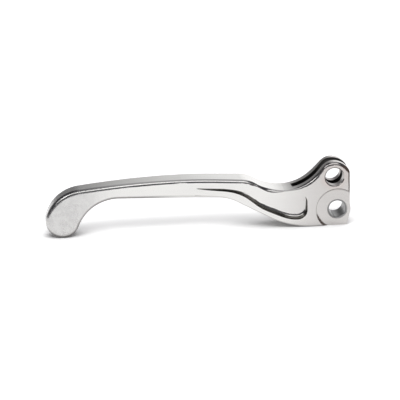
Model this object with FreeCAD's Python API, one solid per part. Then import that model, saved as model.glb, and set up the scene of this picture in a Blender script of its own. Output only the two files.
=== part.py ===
import FreeCAD, Part
import math
import os

from FreeCAD import Vector

# Bare clutch lever with its two pressed-in pivot bushes.
# Frame: the origin is the middle of the pivot bore. X runs along the lever, with the
# ball end at -X. Y is the axis of the pivot bore. Z is up as the lever stands on its
# lower edge. Lengths are millimetres and angles are degrees.

# Hub
hub_thickness = 16.5
bottom_z = -9.45
side_x = 7.2

# Eye for the cable barrel, at the top of the hub
barrel_x = -1.6
barrel_z = 19.15
barrel_bore_radius = 5.15
barrel_chamfer = 0.55
eye_top_x = -1.9
eye_top_z = 27.7
eye_left_radius = 7.95
eye_right_radius = 10.3
eye_corner_radius = 4.0
eye_slope = 50.0

# Slot that splits the eye into two ears
slot_width = 6.2
slot_floor_z = 10.6
slot_start_x = -25.4
slot_start_z = 13.1
slot_cutter_radius = 38.0

# Pivot
lobe_radius = 7.65
lobe_blend_radius = 6.0
toe_angle = 15.0
toe_corner_radius = 1.0
bush_outer_radius = 5.5
bush_inner_radius = 4.8
bush_length = 6.7
bush_inset = 0.3
bush_chamfer = 0.25
bush_seam = 0.3
bush_seam_angle = 200.0
pivot_chamfer = 0.25
spotface_radius = 12.4
spotface_depth = 1.1
spotface_cove_radius = 2.2

# Neck and blade, seen from the side
neck_x = -30.2
neck_z = 12.7
neck_radius = 30.0
neck_slope = 30.0
neck_straight = 1.5
shoulder_radius = 18.0
shoulder_slope = 4.0
crown_x = -88.0
crown_z = 21.4
crown_radius = 510.0
belly_x = -14.0
belly_radius = 51.0
throat_x = -67.0
throat_radius = 22.0
blade_bottom_slope = 2.0

# Ball end
ball_back_x = -143.1
ball_back_radius = 22.7
ball_nose_radius = 9.6
finger_hook_x = -123.9
finger_hook_z = -12.4

# Taper of the thickness towards the ball end
taper_start_x = -45.0
taper_end_x = -160.0
ball_thickness = 12.3
taper_blend_length = 12.0

# Radius of the rounded long edges at stations (x, radius) along the lever: nearly sharp where
# the slot starts, fuller round the eye, and fullest at the ball end
top_rounds = ((-160.0, 2.5), (-57.0, 1.8), (-45.0, 1.7), (-30.2, 0.7), (-18.8, 0.6),
              (-9.7, 1.5), (-8.2, 1.7), (-1.9, 1.8), (7.2, 1.8))
bottom_rounds = ((-160.0, 2.5), (-67.0, 1.1), (9.0, 1.1))
# Height that parts the top edges from the bottom edges, on the neck and beyond it
neck_split_z = 7.0
blade_split_z = 15.0
blade_split_x = -48.0

# Teardrop pocket in each side of the neck. The ramp and the coves, where the walls run into
# the floor, are stations (x, depth) and (x, radius).
pocket_end_x = -17.1
pocket_low_corner = 5.45
pocket_low_z = -4.85
pocket_high_corner = 4.4
pocket_high_z = 9.7
pocket_lower_points = ((-80.0, 16.0), (-70.0, 14.5), (-60.0, 13.0), (-52.6, 9.9), (-44.2, 3.4),
                       (-35.7, -1.0), (-27.7, -4.2))
pocket_upper_points = ((-27.0, 9.0), (-31.5, 8.7), (-38.4, 9.85), (-46.0, 10.9), (-54.0, 13.3),
                       (-62.0, 15.1), (-72.0, 16.0), (-80.0, 16.5))
pocket_lower_breaks = (2, 3, 4)
pocket_upper_breaks = (4, 6)
pocket_ramp = ((-80.0, 0.0), (-66.0, 2.5), (-52.0, 4.1), (-42.0, 4.6))
pocket_lower_coves = ((-80.0, 0.2), (-60.0, 0.9), (-52.6, 1.3), (-44.2, 2.1), (-17.1, 2.2))
pocket_upper_coves = ((-80.0, 0.2), (-62.0, 0.5), (-46.0, 0.9), (-21.5, 1.0), (-17.1, 1.8))

half_hub = hub_thickness / 2.0
floor_y = half_hub - spotface_depth
reach = 30.0
tolerance = 0.01


def at(x, z):
    """Point of the side view."""
    return Vector(x, 0.0, z)


def heading(angle):
    """Unit vector of the side view."""
    turn = math.radians(angle)
    return at(math.cos(turn), math.sin(turn))


def angle_of(vector):
    return math.degrees(math.atan2(vector.z, vector.x))


def arc(centre, radius, first, last):
    """Arc of the side view between two angles round its centre."""
    middle = centre + heading((first + last) / 2.0) * radius
    return Part.Arc(centre + heading(first) * radius, middle, centre + heading(last) * radius).toShape()


def line(first, last):
    return Part.LineSegment(first, last).toShape()


def spline_pieces(points, start, end, breaks=()):
    """Smooth curve through side-view points, split at the points numbered in breaks."""
    curve = Part.BSplineCurve()
    curve.interpolate(Points=[at(x, z) for x, z in points], InitialTangent=start, FinalTangent=end)
    stops = [points[0]] + [points[number] for number in breaks] + [points[-1]]
    stops = [curve.parameter(at(x, z)) for x, z in stops]
    return [curve.toShape(first, last) for first, last in zip(stops, stops[1:])]


def radius_at(stations, x):
    """Radius at x, straight between the stations and constant beyond them."""
    before = stations[0]
    for after in stations:
        if x <= after[0]:
            span = after[0] - before[0]
            share = (x - before[0]) / span if span > 0.0 else 0.0
            return before[1] + share * (after[1] - before[1])
        before = after
    return before[1]


def top_edges():
    """Upper outline from the eye to the start of the ball end."""
    eye = at(eye_top_x, eye_top_z - eye_left_radius)
    leave = eye + heading(90.0 + eye_slope) * eye_left_radius
    flank = heading(eye_slope)
    drop = (leave.x - neck_x) * flank.z - (leave.z - neck_z) * flank.x
    saddle_radius = drop / (1.0 - flank.x)
    saddle = at(neck_x, neck_z + saddle_radius)
    land = saddle + heading(eye_slope - 90.0) * saddle_radius

    neck = at(neck_x, neck_z + neck_radius)
    neck_end = neck + heading(-90.0 - neck_slope) * neck_radius
    shoulder_start = neck_end + heading(180.0 - neck_slope) * neck_straight
    shoulder = shoulder_start - heading(90.0 - neck_slope) * shoulder_radius
    shoulder_end = shoulder + heading(90.0 - shoulder_slope) * shoulder_radius

    crown = at(crown_x, crown_z - crown_radius)
    ball_back = ball_back_centre()
    crown_end = angle_of(ball_back - crown)
    crown_start = crown + heading(90.0) * crown_radius
    blade_top = spline_pieces(((shoulder_end.x, shoulder_end.z), (crown_start.x, crown_start.z)),
                              heading(180.0 - shoulder_slope), heading(180.0))
    return [
        arc(eye, eye_left_radius, 90.0, 90.0 + eye_slope),
        line(leave, land),
        arc(saddle, saddle_radius, eye_slope - 90.0, eye_slope / 2.0 - 90.0),
        arc(saddle, saddle_radius, eye_slope / 2.0 - 90.0, -90.0),
        arc(neck, neck_radius, -90.0, -90.0 - neck_slope),
        line(neck_end, shoulder_start),
        arc(shoulder, shoulder_radius, 90.0 - neck_slope, 90.0 - shoulder_slope),
    ] + blade_top + [
        arc(crown, crown_radius, 90.0, crown_end),
    ]


def ball_back_centre():
    """Centre of the back of the ball end, whose arc runs on from the crown."""
    crown = at(crown_x, crown_z - crown_radius)
    span = crown_radius - ball_back_radius
    offset = ball_back_x - crown_x
    return at(ball_back_x, crown.z + math.sqrt(span ** 2 - offset ** 2))


def ball_nose_centre():
    """Centre of the nose, which stands on the lower edge and runs on from the back."""
    back = ball_back_centre()
    nose_z = bottom_z + ball_nose_radius
    span = ball_back_radius - ball_nose_radius
    return at(back.x - math.sqrt(span ** 2 - (back.z - nose_z) ** 2), nose_z)


def ball_edges():
    """Back and nose of the ball end, and the hook for the finger."""
    crown = at(crown_x, crown_z - crown_radius)
    back = ball_back_centre()
    nose = ball_nose_centre()
    hook = at(finger_hook_x, finger_hook_z)
    hook_radius = nose.distanceToPoint(hook) - ball_nose_radius
    back_start = angle_of(back - crown)
    nose_start = angle_of(nose - back) % 360.0
    nose_end = angle_of(hook - nose) % 360.0
    return [
        arc(back, ball_back_radius, back_start, nose_start),
        arc(nose, ball_nose_radius, nose_start, nose_end),
        arc(hook, hook_radius, nose_end - 180.0, 90.0 - blade_bottom_slope),
    ]


def bottom_edges():
    """Lower outline from the hook to the toe of the hub."""
    nose = ball_nose_centre()
    hook = at(finger_hook_x, finger_hook_z)
    hook_radius = nose.distanceToPoint(hook) - ball_nose_radius
    blade_start = hook + heading(90.0 - blade_bottom_slope) * hook_radius
    run = throat_x - blade_start.x
    throat_start = at(throat_x, blade_start.z - run * math.tan(math.radians(blade_bottom_slope)))
    throat = throat_start - heading(90.0 - blade_bottom_slope) * throat_radius
    belly = at(belly_x, bottom_z + belly_radius)
    between = belly - throat
    lean = math.degrees(math.asin((throat_radius + belly_radius) / between.Length))
    slope = lean - angle_of(between)
    throat_end = throat + heading(90.0 - slope) * throat_radius
    belly_start = belly + heading(-90.0 - slope) * belly_radius
    return [
        line(blade_start, throat_start),
        arc(throat, throat_radius, 90.0 - blade_bottom_slope, 90.0 - slope),
        line(throat_end, belly_start),
        arc(belly, belly_radius, -90.0 - slope, -90.0),
    ]


def hub_edges():
    """Toe, pivot lobe, back and crest of the hub."""
    toe_tangent = heading(-toe_angle) * lobe_radius
    down = heading(-90.0 - toe_angle)
    toe_z = bottom_z + toe_corner_radius
    drop = toe_tangent.z - toe_z + toe_corner_radius * math.sin(math.radians(toe_angle))
    toe_end = toe_tangent + down * (drop / math.cos(math.radians(toe_angle)))
    toe = toe_end - heading(-toe_angle) * toe_corner_radius
    blend_x = side_x + lobe_blend_radius
    blend_z = math.sqrt((lobe_radius + lobe_blend_radius) ** 2 - blend_x ** 2)
    blend = at(blend_x, blend_z)
    blend_angle = angle_of(blend)
    crest = at(eye_top_x, eye_top_z - eye_right_radius)
    corner_x = side_x - eye_corner_radius
    span = eye_right_radius - eye_corner_radius
    corner = at(corner_x, crest.z + math.sqrt(span ** 2 - (corner_x - crest.x) ** 2))
    corner_angle = angle_of(corner - crest)
    pivot = at(0.0, 0.0)
    return [
        line(at(belly_x, bottom_z), at(toe.x, bottom_z)),
        arc(toe, toe_corner_radius, -90.0, -toe_angle),
        line(toe_end, toe_tangent),
        arc(pivot, lobe_radius, -toe_angle, blend_angle),
        arc(blend, lobe_blend_radius, 180.0 + blend_angle, 180.0),
        line(at(side_x, blend_z), at(side_x, corner.z)),
        arc(corner, eye_corner_radius, 0.0, corner_angle),
        arc(crest, eye_right_radius, corner_angle, 90.0),
    ]


def half_thickness(x):
    """Half of the lever's thickness at a station along its length."""
    if x >= taper_start_x:
        return half_hub
    share = (taper_start_x - x) / (taper_start_x - taper_end_x)
    return half_hub + share * (ball_thickness - hub_thickness) / 2.0


def plan_solid():
    """Everything inside the tapered sides, seen from above."""
    bend_start = taper_start_x + taper_blend_length / 2.0
    bend_end = taper_start_x - taper_blend_length / 2.0
    far_x = taper_end_x - reach
    sides = []
    for side in (-1.0, 1.0):
        edges = []
        first = Vector(reach, side * half_hub, 0.0)
        bend = Vector(bend_start, side * half_hub, 0.0)
        taper = Vector(bend_end, side * half_thickness(bend_end), 0.0)
        last = Vector(far_x, side * half_thickness(far_x), 0.0)
        blend = Part.BSplineCurve()
        blend.interpolate(Points=[bend, taper], InitialTangent=Vector(-1.0, 0.0, 0.0),
                          FinalTangent=(last - taper).normalize())
        edges.append(line(first, bend))
        edges.append(blend.toShape())
        edges.append(line(taper, last))
        sides.append((edges, first, last))
    near, far = sides
    ends = [line(near[1], far[1]), line(near[2], far[2])]
    wire = Part.Wire(Part.__sortEdges__(near[0] + far[0] + ends))
    face = Part.Face(wire)
    face.translate(Vector(0.0, 0.0, -reach * 2.0))
    return face.extrude(Vector(0.0, 0.0, reach * 4.0))


def blank():
    """Lever blank with its true side view and its tapered thickness."""
    edges = top_edges() + ball_edges() + bottom_edges() + hub_edges()
    face = Part.Face(Part.Wire(Part.__sortEdges__(edges)))
    face.translate(Vector(0.0, -hub_thickness, 0.0))
    slab = face.extrude(Vector(0.0, 2.0 * hub_thickness, 0.0))
    return slab.common(plan_solid())


def round_at(x, z):
    """Rounding radius of the long edges at a point of the outline."""
    upper = z > (neck_split_z if x > blade_split_x else blade_split_z)
    return radius_at(top_rounds if upper else bottom_rounds, x)


def filleted(solid, picks):
    """The solid with edges rounded. A pick is an edge number and the radii at its ends."""
    document = FreeCAD.newDocument("rounding")
    base = document.addObject("Part::Feature", "base")
    base.Shape = solid
    fillet = document.addObject("Part::Fillet", "fillet")
    fillet.Base = base
    fillet.Edges = picks
    document.recompute()
    result = fillet.Shape.copy()
    FreeCAD.closeDocument(document.Name)
    return result


def rounded(solid):
    """The same solid with the edges round both of its sides rounded off."""
    picks = []
    for number, edge in enumerate(solid.Edges, 1):
        first, last = edge.valueAt(edge.FirstParameter), edge.valueAt(edge.LastParameter)
        if abs(first.y - last.y) > hub_thickness / 2.0:
            continue
        faces = solid.ancestorsOfType(edge, Part.Face)
        upright = [abs(face.normalAt(0.5, 0.5).y) > 0.5 for face in faces]
        if all(upright) or not any(upright):
            continue
        picks.append((number, round_at(first.x, first.z), round_at(last.x, last.z)))
    return filleted(solid, picks)


def bore_cut(x, z, radius, chamfer, face_y):
    """Bore along Y with a chamfer at each face, for a wall that ends at +-face_y."""
    profile = [
        Vector(0.0, -reach, 0.0),
        Vector(radius + chamfer, -reach, 0.0),
        Vector(radius + chamfer, -face_y, 0.0),
        Vector(radius, -face_y + chamfer, 0.0),
        Vector(radius, face_y - chamfer, 0.0),
        Vector(radius + chamfer, face_y, 0.0),
        Vector(radius + chamfer, reach, 0.0),
        Vector(0.0, reach, 0.0),
        Vector(0.0, -reach, 0.0),
    ]
    face = Part.Face(Part.makePolygon(profile))
    cut = face.revolve(Vector(0.0, 0.0, 0.0), Vector(0.0, 1.0, 0.0), 360.0)
    cut.translate(at(x, z))
    return cut


def spotface_cut(side):
    """Shallow round recess about the pivot, with a coved wall, in one side of the hub."""
    cove = spotface_cove_radius
    turn = math.acos(1.0 - spotface_depth / cove)
    flat_radius = spotface_radius - cove * math.sin(turn)
    floor = side * floor_y
    face = side * half_hub
    outside = side * reach
    middle = Vector(flat_radius + cove * math.sin(turn / 2.0),
                    floor + side * cove * (1.0 - math.cos(turn / 2.0)), 0.0)
    rim = Vector(spotface_radius, face, 0.0)
    edges = [
        line(Vector(0.0, floor, 0.0), Vector(flat_radius, floor, 0.0)),
        Part.Arc(Vector(flat_radius, floor, 0.0), middle, rim).toShape(),
        line(rim, Vector(spotface_radius, outside, 0.0)),
        line(Vector(spotface_radius, outside, 0.0), Vector(0.0, outside, 0.0)),
        line(Vector(0.0, outside, 0.0), Vector(0.0, floor, 0.0)),
    ]
    section = Part.Face(Part.Wire(Part.__sortEdges__(edges)))
    return section.revolve(Vector(0.0, 0.0, 0.0), Vector(0.0, 1.0, 0.0), 360.0)


def slot_cut():
    """Slot between the ears, open at the top and at the back, with a round run-out."""
    drop = slot_start_z - slot_floor_z
    turn = math.degrees(math.acos(1.0 - drop / slot_cutter_radius))
    cutter = at(slot_start_x + slot_cutter_radius * math.sin(math.radians(turn)),
                slot_floor_z + slot_cutter_radius)
    start = cutter + heading(-90.0 - turn) * slot_cutter_radius
    above = start + heading(90.0 + turn) * reach
    top = at(reach, above.z)
    floor_end = at(reach, slot_floor_z)
    edges = [
        arc(cutter, slot_cutter_radius, -90.0 - turn, -90.0),
        line(at(cutter.x, slot_floor_z), floor_end),
        line(floor_end, top),
        line(top, above),
        line(above, start),
    ]
    section = Part.Face(Part.Wire(Part.__sortEdges__(edges)))
    section.translate(Vector(0.0, -slot_width / 2.0, 0.0))
    return section.extrude(Vector(0.0, slot_width, 0.0))


def pocket_edges():
    """Lower and upper curves and the blunt end of the teardrop, in the side view."""
    low = at(pocket_end_x - pocket_low_corner, pocket_low_z + pocket_low_corner)
    high = at(pocket_end_x - pocket_high_corner, pocket_high_z - pocket_high_corner)
    lower_points = pocket_lower_points + ((low.x, pocket_low_z),)
    upper_points = ((high.x, pocket_high_z),) + pocket_upper_points
    tail = at(*lower_points[1]) - at(*lower_points[0])
    tip = at(*upper_points[-1]) - at(*upper_points[-2])
    lower = spline_pieces(lower_points, tail.normalize(), heading(0.0), pocket_lower_breaks)
    upper = spline_pieces(upper_points, heading(180.0), tip.normalize(), pocket_upper_breaks)
    end = [
        arc(low, pocket_low_corner, -90.0, 0.0),
        line(at(pocket_end_x, low.z), at(pocket_end_x, high.z)),
        arc(high, pocket_high_corner, 0.0, 90.0),
    ]
    return lower, upper, end


def pocket_floor(side):
    """Everything outside the pocket's floor, which ramps up to the surface along the tail."""
    points = [Vector(x, side * (half_thickness(x) - depth), -reach) for x, depth in pocket_ramp]
    ramp = Part.BSplineCurve()
    ramp.interpolate(Points=points, InitialTangent=(points[1] - points[0]).normalize(),
                     FinalTangent=Vector(1.0, 0.0, 0.0))
    tip, deep = points[0], points[-1]
    hub_end = Vector(0.0, deep.y, -reach)
    outside_hub = Vector(0.0, side * reach, -reach)
    outside_tip = Vector(tip.x, side * reach, -reach)
    edges = [
        ramp.toShape(),
        line(deep, hub_end),
        line(hub_end, outside_hub),
        line(outside_hub, outside_tip),
        line(outside_tip, tip),
    ]
    return Part.Face(Part.Wire(Part.__sortEdges__(edges))).extrude(Vector(0.0, 0.0, 2.0 * reach))


def pocket_cut(side):
    """Teardrop pocket with a cove where its walls meet the floor."""
    lower, upper, end = pocket_edges()
    tip_end = line(at(*pocket_upper_points[-1]), at(*pocket_lower_points[0]))
    outline = Part.Face(Part.Wire(Part.__sortEdges__(lower + upper + end + [tip_end])))
    solid = outline.extrude(Vector(0.0, side * reach, 0.0)).common(pocket_floor(side))
    upper_side = Part.Wire(Part.__sortEdges__(upper + end[-1:]))

    def cove_at(point):
        flat = Part.Vertex(point.x, 0.0, point.z)
        on_upper = upper_side.distToShape(flat)[0] < tolerance
        return radius_at(pocket_upper_coves if on_upper else pocket_lower_coves, point.x)

    picks = []
    for number, edge in enumerate(solid.Edges, 1):
        first, last = edge.valueAt(edge.FirstParameter), edge.valueAt(edge.LastParameter)
        outside = max(side * first.y, side * last.y) > reach - tolerance
        faces = solid.ancestorsOfType(edge, Part.Face)
        on_wall = any(abs(face.normalAt(0.5, 0.5).y) < tolerance for face in faces)
        along_floor = on_wall and not outside
        at_tip = abs(first.x - last.x) < tolerance and first.x < neck_x
        if along_floor and not at_tip:
            picks.append((number, cove_at(first), cove_at(last)))
    return filleted(solid, picks)


def lever_body():
    """The lever itself, one solid."""
    body = rounded(blank())
    cuts = [
        slot_cut(),
        bore_cut(barrel_x, barrel_z, barrel_bore_radius, barrel_chamfer, half_hub),
        spotface_cut(-1.0),
        spotface_cut(1.0),
        bore_cut(0.0, 0.0, bush_outer_radius, pivot_chamfer, floor_y),
        pocket_cut(-1.0),
        pocket_cut(1.0),
    ]
    return single(body.cut(cuts))


def single(shape):
    """The one solid of a shape, or an error if there are more."""
    if len(shape.Solids) != 1:
        raise ValueError("expected one solid, found %d" % len(shape.Solids))
    return shape.Solids[0]


def pivot_bush(side):
    """Wrapped bush pressed into one end of the pivot bore, with its open seam."""
    outer_end = floor_y - bush_inset
    inner_end = outer_end - bush_length
    c = bush_chamfer
    profile = [
        Vector(bush_inner_radius, inner_end, 0.0),
        Vector(bush_outer_radius - c, inner_end, 0.0),
        Vector(bush_outer_radius, inner_end + c, 0.0),
        Vector(bush_outer_radius, outer_end, 0.0),
        Vector(bush_inner_radius + c, outer_end, 0.0),
        Vector(bush_inner_radius, outer_end - c, 0.0),
        Vector(bush_inner_radius, inner_end, 0.0),
    ]
    face = Part.Face(Part.makePolygon(profile))
    sleeve = face.revolve(Vector(0.0, 0.0, 0.0), Vector(0.0, 1.0, 0.0), 360.0)
    seam = Part.makeBox(bush_seam, reach, reach, Vector(-bush_seam / 2.0, 0.0, 0.0))
    seam.rotate(Vector(0.0, 0.0, 0.0), Vector(0.0, 1.0, 0.0), bush_seam_angle)
    sleeve = sleeve.cut(seam)
    if side < 0.0:
        sleeve = sleeve.mirror(Vector(0.0, 0.0, 0.0), Vector(0.0, 1.0, 0.0))
    return single(sleeve)


def main():
    nodes = {
        "lever_body": lever_body(),
        "pivot_bush_front": pivot_bush(-1.0),
        "pivot_bush_rear": pivot_bush(1.0),
    }
    os.makedirs("parts", exist_ok=True)
    for name, shape in nodes.items():
        box = shape.BoundBox
        print("%s valid=%s volume=%.1f x %.2f..%.2f y %.2f..%.2f z %.2f..%.2f" % (
            name, shape.isValid(), shape.Volume,
            box.XMin, box.XMax, box.YMin, box.YMax, box.ZMin, box.ZMax))
        shape.exportStep("parts/%s.step" % name)


main()
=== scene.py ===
import math

import bpy
from mathutils import Matrix, Vector


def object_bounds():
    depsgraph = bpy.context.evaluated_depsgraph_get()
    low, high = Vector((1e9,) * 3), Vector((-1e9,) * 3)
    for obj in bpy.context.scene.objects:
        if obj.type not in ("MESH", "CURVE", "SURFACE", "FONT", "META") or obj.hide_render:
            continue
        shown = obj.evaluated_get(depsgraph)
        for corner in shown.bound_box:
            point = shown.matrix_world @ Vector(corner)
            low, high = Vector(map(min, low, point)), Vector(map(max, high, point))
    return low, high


# Clutch lever standing on its lower edge on a glowing white table. Lengths are metres.
# X runs along the lever with the ball end at -X, Y along the pivot bore, and Z up.
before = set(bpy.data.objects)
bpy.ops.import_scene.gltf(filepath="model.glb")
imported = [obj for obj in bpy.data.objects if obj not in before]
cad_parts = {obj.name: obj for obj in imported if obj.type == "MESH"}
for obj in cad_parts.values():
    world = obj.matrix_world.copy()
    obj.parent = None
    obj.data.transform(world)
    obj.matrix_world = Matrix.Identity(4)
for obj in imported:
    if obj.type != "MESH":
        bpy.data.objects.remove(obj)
cad_low, cad_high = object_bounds()

# Camera, with its lens and sensor in millimetres
CAMERA_AZIMUTH = math.radians(5.2808)
CAMERA_ELEVATION = math.radians(17.0)
CAMERA_ROLL = math.radians(-1.37)
CAMERA_TARGET = Vector((-0.077276, 0.0, 0.00718))
CAMERA_DISTANCE = 1.204833
CAMERA_LENS = 191.784
CAMERA_SENSOR = 36.0
CAMERA_NEAR = 0.05
CAMERA_FAR = 50.0

# A pair of numbers below is a soft edge, unless a comment says otherwise: a mask is 0 at
# the first number and 1 at the second.

# Room that the metal mirrors. Its edges are the X, Y or Z of a unit direction, and the
# lower and upper edges of the softbox are angles above the horizon in front.
ROOM = (0.055, 0.053, 0.060, 1.0)
BACKDROP_DARK = 0.16
BACKDROP_MIDDLE = 0.32
BACKDROP_WHITE = 1.20
BACKDROP_MIDDLE_X = (-0.42, -0.15)
BACKDROP_WHITE_X = (-0.12, 0.24)
BACKDROP_BEHIND_Y = (0.0, 0.3)
BACKDROP_TOP_Z = (0.42, 0.30)
OVERHEAD = (0.44, 0.435, 0.45, 1.0)
OVERHEAD_LEFT_X = (-0.16, -0.04)
OVERHEAD_RIGHT_X = (0.50, 0.35)
OVERHEAD_BOTTOM_Z = (0.30, 0.42)
SOFTBOX = 2.2
SOFTBOX_BOTTOM = (math.radians(46.0), math.radians(50.0))
SOFTBOX_TOP = (math.radians(66.0), math.radians(61.0))
SOFTBOX_LEFT_X = (-0.80, -0.62)
SOFTBOX_RIGHT_X = (0.55, 0.38)
HOT_SPOT = 4.0
HOT_SPOT_LEFT_X = (-0.78, -0.66)
HOT_SPOT_RIGHT_X = (-0.46, -0.56)

# Dark card at the right, upright across X
DARK_CARD = (0.13, 0.10, 0.09, 1.0)
CARD_X = 0.05
CARD_FRONT_Y = -0.16
CARD_BACK_Y = 0.06
CARD_TOP_Z = 0.06

# Light that lays the faint shadow
SHADOW_SUN = 1.30
SUN_SPREAD = math.radians(38.0)
SUN_DIRECTION = Vector((-0.04, 0.62, -1.0))

# Table. It shines evenly where nothing is near, and a painted contact shadow dims it where the
# lever closes it in.
TABLE_Z = cad_low.z
TABLE_REACH = 6.0
TABLE_WHITE = 0.9
TABLE_GLOW = 0.55
TABLE_GLOW_IN_PAINTED_SHADOW = 0.10 * TABLE_GLOW
TABLE_OPEN = (0.30, 0.92)
CONTACT_REACH = 0.022
CONTACT_SAMPLES = 8

# Parts of the lever, by X
BALL_X = (-0.120, -0.150)
HOOK_X = (-0.088, -0.112)
HUB_X = (-0.045, -0.004)

# Bores and the turned face, by distance from an axis along Y
BARREL_X = -0.0016
BARREL_Z = 0.01915
BARREL_RADIUS = 0.00515
BARREL_WALL = (BARREL_RADIUS + 0.00012, BARREL_RADIUS + 0.00004)
PIVOT_WALL = (0.00575, 0.00560)
TURNED_FACE = (0.0112, 0.0102)
# Reach of the painted dark brown reflection round the barrel bore
PAINTED_REFLECTION_REACH = (0.0100, 0.0054)

# Slot between the ears, by distance from the mid plane, by X and by Z
SLOT_HALF_WIDTH = (0.00316, 0.00312)
SLOT_X = (-0.02535, -0.02525)
SLOT_Z = (0.0103, 0.0105)

# Pockets. The side face has a half thickness at each end of its taper. A pocket lies
# above a straight line and below a smooth step, each with an X and a Z at both ends.
TAPER_X = (-0.045, -0.160)
TAPER_HALF_THICKNESS = (0.00825, 0.00615)
POCKET_BELOW_X = (-0.0616, -0.0294)
POCKET_BELOW_Z = (0.0122, -0.0063)
POCKET_ABOVE_X = (-0.048, -0.042)
POCKET_ABOVE_Z = (0.0175, 0.0118)
POCKET_TAIL_X = (-0.0810, -0.0805)
POCKET_HEAD_X = (-0.0165, -0.0168)
POCKET_EDGE = (-0.0001, 0.0001)
POCKET_SUNK = (0.00006, 0.00016)
POCKET_WALL_Y = (0.0038, 0.0044)
POCKET_NARROW_X = (-0.054, -0.058)

# Tones of the aluminium
BRIGHT_LOW = (0.68, 0.675, 0.66, 1.0)
BRIGHT_HIGH = (0.73, 0.725, 0.705, 1.0)
# Hub and ball end: partly a duller finish, partly painted shade for the darker reflections they
# show
HUB_DULL_AND_SHADE = (0.515, 0.497, 0.485, 1.0)
BALL_DULL_AND_SHADE = (0.52, 0.515, 0.51, 1.0)
# Painted dark brown reflection above the barrel bore
BROWN_PAINTED_REFLECTION = (0.52, 0.44, 0.41, 1.0)
BORE_TONE = (0.45, 0.45, 0.45, 1.0)
# Painted shade on faces turned down and inside the hook
UNDERSIDE_PAINTED_SHADE = (0.20, 0.19, 0.185, 1.0)
# Painted shade inside the slot between the ears
SLOT_PAINTED_SHADE = (0.075, 0.072, 0.070, 1.0)
# Painted shade on the pocket walls
POCKET_WALL_PAINTED_SHADE = (0.20, 0.195, 0.18, 1.0)

# How much of a tone is laid over the one below it, from 0 to 1. A pair follows a noise.
HUB_SHARE = 0.9
BALL_SHARE = (0.62, 0.82)
PAINTED_REFLECTION_SHARE = (0.3, 0.8)
BORE_SHARE = 0.5
UNDERSIDE_SHARE = 0.35
HOOK_UNDERSIDE_SHARE = 0.60
HOOK_INSIDE_SHARE = 0.85
POCKET_WALL_SHADE_SHARE = 0.8

# Slopes of the surface that take the painted shade, by Z or X of its normal
FACES_DOWN_Z = (-0.12, -0.60)
FACES_HUB_X = (0.20, 0.65)

# Noises, in repeats per metre, along each axis where there are three numbers. The pairs are
# edges of a noise's own value, across which a share or a roughness changes.
CLOUD_SCALE = 55.0
MOTTLE_SCALE = 300.0
RINGS_SCALE = 9000.0
GRAIN_SCALE = (14.0, 900.0, 900.0)
SCUFFS_SCALE = (300.0, 60.0, 1500.0)
NOISE_BODY = (0.3, 0.7)
BALL_MOTTLE = (0.35, 0.65)
PAINTED_REFLECTION_CLOUD = (0.35, 0.6)

# Roughness of the aluminium, and what each part adds to it. A pair follows a noise.
POLISHED_ROUGHNESS = (0.10, 0.16)
SLOT_ROUGHNESS = 0.25
HUB_ROUGHNESS = (0.05, 0.10)
BALL_ROUGHNESS = (0.08, 0.16)
BORE_ROUGHNESS = 0.15

# Relief of the aluminium: how much of each noise, and how deep all of it is
GRAIN_RELIEF = 0.35
MOTTLE_RELIEF = 0.25
SCUFFS_RELIEF = 0.35
RINGS_RELIEF = 0.25
RELIEF_STRENGTH = 0.22
RELIEF_DEPTH = 0.00003

# Bushes. Their roughness follows the streaks.
BUSH_DARK = 0.22
BUSH_LIGHT = 0.36
BUSH_ROUGHNESS = (0.28, 0.42)
BUSH_STRETCH = (1.0, 0.2, 1.0)
BUSH_STREAK_SCALE = 900.0


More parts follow.
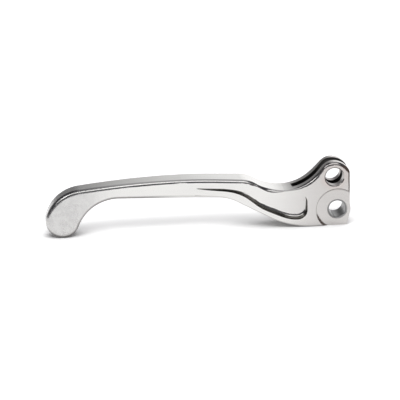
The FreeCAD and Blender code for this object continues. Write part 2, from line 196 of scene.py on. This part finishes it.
class Nodes:
    """A short way to build a node tree."""

    def __init__(self, tree):
        self.tree = tree
        tree.nodes.clear()

    def add(self, kind, inputs=None, **settings):
        node = self.tree.nodes.new(kind)
        for name, value in settings.items():
            setattr(node, name, value)
        for name, value in (inputs or {}).items():
            self.put(node.inputs[name], value)
        return node

    def put(self, socket, value):
        """Link the socket to another one, or set it to a plain value."""
        if isinstance(value, bpy.types.NodeSocket):
            self.tree.links.new(value, socket)
        else:
            socket.default_value = value

    def finish(self, kind, shader):
        """End the tree with this shader as its surface."""
        self.add(kind, {"Surface": shader.outputs[0]})

    def math(self, operation, first, second=0.0, clamp=False):
        inputs = {0: first, 1: second}
        return self.add("ShaderNodeMath", inputs, operation=operation, use_clamp=clamp).outputs[0]

    def product(self, first, *others):
        for other in others:
            first = self.math("MULTIPLY", first, other)
        return first

    def total(self, first, *others):
        for other in others:
            first = self.math("ADD", first, other)
        return first

    def ramp(self, value, edge, result=(0.0, 1.0), shape="SMOOTHSTEP"):
        """From the first result to the second across the edge, and level beyond it."""
        inputs = {
            "Value": value,
            "From Min": edge[0],
            "From Max": edge[1],
            "To Min": result[0],
            "To Max": result[1],
        }
        return self.add("ShaderNodeMapRange", inputs, interpolation_type=shape).outputs["Result"]

    def mix(self, share, first, second):
        """The first colour, with a share of the second one over it."""
        node = self.add("ShaderNodeMix", data_type="RGBA")
        self.put(node.inputs["Factor"], share)
        self.put(node.inputs[6], first)
        self.put(node.inputs[7], second)
        return node.outputs[2]

    def parts(self, vector):
        """X, Y and Z of a vector."""
        return self.add("ShaderNodeSeparateXYZ", {"Vector": vector}).outputs

    def place(self, kind):
        """A texture coordinate, such as the point on the object or the normal there."""
        return self.add("ShaderNodeTexCoord").outputs[kind]

    def noise(self, vector, scale, detail=2.0, roughness=0.5):
        inputs = {"Vector": vector, "Scale": scale, "Detail": detail, "Roughness": roughness}
        return self.add("ShaderNodeTexNoise", inputs).outputs["Fac"]

    def noise_1d(self, value, scale):
        inputs = {"W": value, "Scale": scale, "Detail": 2.0}
        return self.add("ShaderNodeTexNoise", inputs, noise_dimensions="1D").outputs["Fac"]

    def distance(self, x, z, centre_x, centre_z):
        """Distance in the side view from an axis along Y."""
        across = self.math("SUBTRACT", x, centre_x)
        up = self.math("SUBTRACT", z, centre_z)
        square = self.total(self.product(across, across), self.product(up, up))
        return self.math("SQRT", square)

    def stretched(self, vector, scale):
        return self.add("ShaderNodeMapping", {"Vector": vector, "Scale": scale}).outputs["Vector"]


def grey(value):
    return (value, value, value, 1.0)


def new_material(name):
    """A new material, and the builder of its empty node tree."""
    material = bpy.data.materials.new(name)
    material.use_nodes = True
    return material, Nodes(material.node_tree)


def make_camera():
    """Camera at the height and side of the photograph, with a long lens."""
    look = Vector((
        math.sin(CAMERA_AZIMUTH) * math.cos(CAMERA_ELEVATION),
        math.cos(CAMERA_AZIMUTH) * math.cos(CAMERA_ELEVATION),
        -math.sin(CAMERA_ELEVATION),
    ))
    level = Vector((math.cos(CAMERA_AZIMUTH), -math.sin(CAMERA_AZIMUTH), 0.0))
    upright = level.cross(look)
    right = level * math.cos(CAMERA_ROLL) + upright * math.sin(CAMERA_ROLL)
    up = upright * math.cos(CAMERA_ROLL) - level * math.sin(CAMERA_ROLL)
    data = bpy.data.cameras.new("camera")
    data.lens = CAMERA_LENS
    data.sensor_width = CAMERA_SENSOR
    data.clip_start = CAMERA_NEAR
    data.clip_end = CAMERA_FAR
    camera = bpy.data.objects.new("camera", data)
    bpy.context.scene.collection.objects.link(camera)
    turn = Matrix((right, up, -look)).transposed()
    place = Matrix.Translation(CAMERA_TARGET - look * CAMERA_DISTANCE)
    camera.matrix_world = place @ turn.to_4x4()
    bpy.context.scene.camera = camera


def make_world():
    """Dark room with three lit parts: a wide softbox high in front, with a hot spot near its
    left end, a panel overhead, and a low backdrop behind that goes from dark at the left to
    white at the right."""
    world = bpy.data.worlds.new("studio")
    bpy.context.scene.world = world
    world.use_nodes = True
    n = Nodes(world.node_tree)
    direction = n.parts(n.place("Generated"))
    x, y, z = direction["X"], direction["Y"], direction["Z"]

    backdrop = n.mix(
        n.ramp(x, BACKDROP_WHITE_X),
        n.mix(n.ramp(x, BACKDROP_MIDDLE_X), grey(BACKDROP_DARK), grey(BACKDROP_MIDDLE)),
        grey(BACKDROP_WHITE),
    )
    on_backdrop = n.product(n.ramp(y, BACKDROP_BEHIND_Y), n.ramp(z, BACKDROP_TOP_Z))
    on_panel = n.product(
        n.ramp(x, OVERHEAD_LEFT_X),
        n.ramp(x, OVERHEAD_RIGHT_X),
        n.ramp(z, OVERHEAD_BOTTOM_Z),
    )
    room = n.mix(on_backdrop, n.mix(on_panel, ROOM, OVERHEAD), backdrop)

    angle = n.math("ARCTAN2", z, n.product(y, -1.0))
    on_softbox = n.product(
        n.ramp(angle, SOFTBOX_BOTTOM),
        n.ramp(angle, SOFTBOX_TOP),
        n.ramp(x, SOFTBOX_LEFT_X),
        n.ramp(x, SOFTBOX_RIGHT_X),
    )
    on_hot_spot = n.product(n.ramp(x, HOT_SPOT_LEFT_X), n.ramp(x, HOT_SPOT_RIGHT_X))
    light = n.mix(on_softbox, room, n.mix(on_hot_spot, grey(SOFTBOX), grey(HOT_SPOT)))
    background = n.add("ShaderNodeBackground", {"Color": light, "Strength": 1.0})
    n.finish("ShaderNodeOutputWorld", background)


def make_sheet(name, corners, material):
    """Flat sheet with four corners, for the table and the card."""
    mesh = bpy.data.meshes.new(name)
    mesh.from_pydata(corners, [], [(0, 1, 2, 3)])
    mesh.materials.append(material)
    sheet = bpy.data.objects.new(name, mesh)
    bpy.context.scene.collection.objects.link(sheet)
    return sheet


def make_floor():
    """Glowing white light table, level all round the lever. A painted contact shadow dims it
    where the lever touches.
    """
    material, n = new_material("light_table_painted_shadow")
    # Painted contact shadow: ambient occlusion cuts the table's light where the lever is close.
    openness = n.add(
        "ShaderNodeAmbientOcclusion", {"Distance": CONTACT_REACH}, samples=CONTACT_SAMPLES
    )
    glow_less_painted_shadow = n.ramp(openness.outputs["AO"], TABLE_OPEN, (TABLE_GLOW_IN_PAINTED_SHADOW, TABLE_GLOW))
    inputs = {
        "Base Color": grey(TABLE_WHITE),
        "Roughness": 1.0,
        "Specular IOR Level": 0.0,
        "Emission Color": grey(1.0),
        "Emission Strength": glow_less_painted_shadow,
    }
    n.finish("ShaderNodeOutputMaterial", n.add("ShaderNodeBsdfPrincipled", inputs))
    corners = [
        (-TABLE_REACH, -TABLE_REACH, TABLE_Z),
        (TABLE_REACH, -TABLE_REACH, TABLE_Z),
        (TABLE_REACH, TABLE_REACH, TABLE_Z),
        (-TABLE_REACH, TABLE_REACH, TABLE_Z),
    ]
    make_sheet("floor", corners, material)


def make_sun():
    """Broad soft light from high in front, which lays the faint shadow behind the lever."""
    data = bpy.data.lights.new("front_light", "SUN")
    data.energy = SHADOW_SUN
    data.angle = SUN_SPREAD
    lamp = bpy.data.objects.new("front_light", data)
    bpy.context.scene.collection.objects.link(lamp)
    lamp.rotation_euler = SUN_DIRECTION.to_track_quat("-Z", "Y").to_euler()
    lamp.visible_glossy = False


def make_card():
    """Plain dark card at the right that shows only in the metal."""
    material, n = new_material("right_card")
    emission = n.add("ShaderNodeEmission", {"Color": DARK_CARD, "Strength": 1.0})
    n.finish("ShaderNodeOutputMaterial", emission)
    corners = [
        (CARD_X, CARD_FRONT_Y, TABLE_Z),
        (CARD_X, CARD_BACK_Y, TABLE_Z),
        (CARD_X, CARD_BACK_Y, CARD_TOP_Z),
        (CARD_X, CARD_FRONT_Y, CARD_TOP_Z),
    ]
    card = make_sheet("right_card", corners, material)
    card.visible_camera = False
    card.visible_diffuse = False
    card.visible_shadow = False


def bore_walls(n, from_barrel, from_pivot):
    """One on the walls of both bores."""
    return n.math(
        "ADD", n.ramp(from_barrel, BARREL_WALL), n.ramp(from_pivot, PIVOT_WALL), clamp=True
    )


def slot_walls(n, x, z, off_middle):
    """One inside the slot between the ears."""
    return n.product(
        n.ramp(off_middle, SLOT_HALF_WIDTH), n.ramp(x, SLOT_X), n.ramp(z, SLOT_Z)
    )


def pocket_walls(n, x, z, off_middle):
    """One on the walls of the two pockets and all along their narrow tails."""
    side = n.ramp(x, TAPER_X, TAPER_HALF_THICKNESS, "LINEAR")
    lowest = n.ramp(x, POCKET_BELOW_X, POCKET_BELOW_Z, "LINEAR")
    highest = n.ramp(x, POCKET_ABOVE_X, POCKET_ABOVE_Z)
    off_floor = n.math(
        "ADD", n.ramp(off_middle, POCKET_WALL_Y), n.ramp(x, POCKET_NARROW_X), clamp=True
    )
    return n.product(
        n.ramp(n.math("SUBTRACT", side, off_middle), POCKET_SUNK),
        n.ramp(n.math("SUBTRACT", z, lowest), POCKET_EDGE),
        n.ramp(n.math("SUBTRACT", highest, z), POCKET_EDGE),
        n.ramp(x, POCKET_TAIL_X),
        n.ramp(x, POCKET_HEAD_X),
        off_floor,
    )


def painted_underside_shade(n, x):
    """How much painted shade shows on the lower side: some below the lever, and more below
    the ball end and on the inside of its hook."""
    normal = n.parts(n.place("Normal"))
    hook = n.ramp(x, HOOK_X)
    below_share = n.total(UNDERSIDE_SHARE, n.product(hook, HOOK_UNDERSIDE_SHARE))
    below = n.product(n.ramp(normal["Z"], FACES_DOWN_Z), below_share)
    inside = n.product(n.ramp(normal["X"], FACES_HUB_X), hook, HOOK_INSIDE_SHARE)
    return n.math("MAXIMUM", below, inside)


def polished_aluminium():
    """Hand-polished aluminium: fine lengthwise streaks along the blade, a duller hub and
    ball end with a mottled skin and painted shade, turned rings round the pivot and a
    painted dark brown reflection round the barrel bore. The walls of the slot and pockets
    and the faces turned down carry painted shade."""
    material, n = new_material("polished_aluminium_finish")
    place = n.place("Object")
    point = n.parts(place)
    x, z = point["X"], point["Z"]
    off_middle = n.math("ABSOLUTE", point["Y"])
    from_pivot = n.distance(x, z, 0.0, 0.0)
    from_barrel = n.distance(x, z, BARREL_X, BARREL_Z)

    ball = n.ramp(x, BALL_X)
    hub = n.ramp(x, HUB_X)
    bores = bore_walls(n, from_barrel, from_pivot)
    slot = slot_walls(n, x, z, off_middle)
    pockets = pocket_walls(n, x, z, off_middle)

    cloud = n.noise(place, CLOUD_SCALE, detail=3.0)
    mottle = n.noise(place, MOTTLE_SCALE, detail=4.0, roughness=0.55)
    grain = n.noise(n.stretched(place, GRAIN_SCALE), 1.0, detail=3.0, roughness=0.6)
    scuffs = n.noise(n.stretched(place, SCUFFS_SCALE), 1.0)
    rings = n.noise_1d(from_pivot, RINGS_SCALE)

    tone = n.mix(cloud, BRIGHT_LOW, BRIGHT_HIGH)
    # Hub and ball end darker: partly a duller finish, partly painted shade
    tone = n.mix(n.product(hub, HUB_SHARE), tone, HUB_DULL_AND_SHADE)
    tone = n.mix(n.product(ball, n.ramp(mottle, BALL_MOTTLE, BALL_SHARE)), tone, BALL_DULL_AND_SHADE)
    # Painted dark brown reflection round the barrel bore
    painted_reflection = n.product(n.ramp(from_barrel, PAINTED_REFLECTION_REACH), n.ramp(cloud, PAINTED_REFLECTION_CLOUD, PAINTED_REFLECTION_SHARE))
    tone = n.mix(painted_reflection, tone, BROWN_PAINTED_REFLECTION)
    tone = n.mix(n.product(bores, BORE_SHARE), tone, BORE_TONE)
    # Painted shade on faces turned down and inside the hook
    tone = n.mix(painted_underside_shade(n, x), tone, UNDERSIDE_PAINTED_SHADE)
    # Painted shade in the slot
    tone = n.mix(slot, tone, SLOT_PAINTED_SHADE)
    # Painted shade on the pocket walls
    tone = n.mix(n.product(pockets, POCKET_WALL_SHADE_SHARE), tone, POCKET_WALL_PAINTED_SHADE)

    rough = n.total(
        n.ramp(grain, NOISE_BODY, POLISHED_ROUGHNESS),
        n.product(slot, SLOT_ROUGHNESS),
        n.product(hub, n.ramp(cloud, NOISE_BODY, HUB_ROUGHNESS)),
        n.product(ball, n.ramp(mottle, NOISE_BODY, BALL_ROUGHNESS)),
        n.product(bores, BORE_ROUGHNESS),
    )
    relief = n.total(
        n.product(grain, GRAIN_RELIEF),
        n.product(mottle, n.total(MOTTLE_RELIEF, ball)),
        n.product(scuffs, n.product(hub, SCUFFS_RELIEF)),
        n.product(rings, n.product(n.ramp(from_pivot, TURNED_FACE), RINGS_RELIEF)),
    )
    bump = n.add(
        "ShaderNodeBump",
        {"Height": relief, "Strength": RELIEF_STRENGTH, "Distance": RELIEF_DEPTH},
    )
    shader = n.add(
        "ShaderNodeBsdfPrincipled",
        {"Base Color": tone, "Metallic": 1.0, "Roughness": rough, "Normal": bump.outputs[0]},
    )
    n.finish("ShaderNodeOutputMaterial", shader)
    return material


def bush_steel():
    """Satin steel with faint streaks along the bore."""
    material, n = new_material("bush_finish")
    streak = n.noise(n.stretched(n.place("Object"), BUSH_STRETCH), BUSH_STREAK_SCALE, detail=3.0)
    tone = n.mix(streak, grey(BUSH_DARK), grey(BUSH_LIGHT))
    rough = n.ramp(streak, NOISE_BODY, BUSH_ROUGHNESS)
    shader = n.add(
        "ShaderNodeBsdfPrincipled",
        {"Base Color": tone, "Metallic": 1.0, "Roughness": rough},
    )
    n.finish("ShaderNodeOutputMaterial", shader)
    return material


def dress(node, material):
    """The CAD node keeps its mesh and gets this material in every slot."""
    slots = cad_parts[node].material_slots
    for one in slots:
        one.material = material
    if not len(slots):
        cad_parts[node].data.materials.append(material)


make_camera()
make_world()
make_floor()
make_sun()
make_card()
dress("lever_body", polished_aluminium())
lining = bush_steel()
dress("pivot_bush_front", lining)
dress("pivot_bush_rear", lining)

view = bpy.context.scene.view_settings
view.view_transform = "Standard"
view.look = "None"
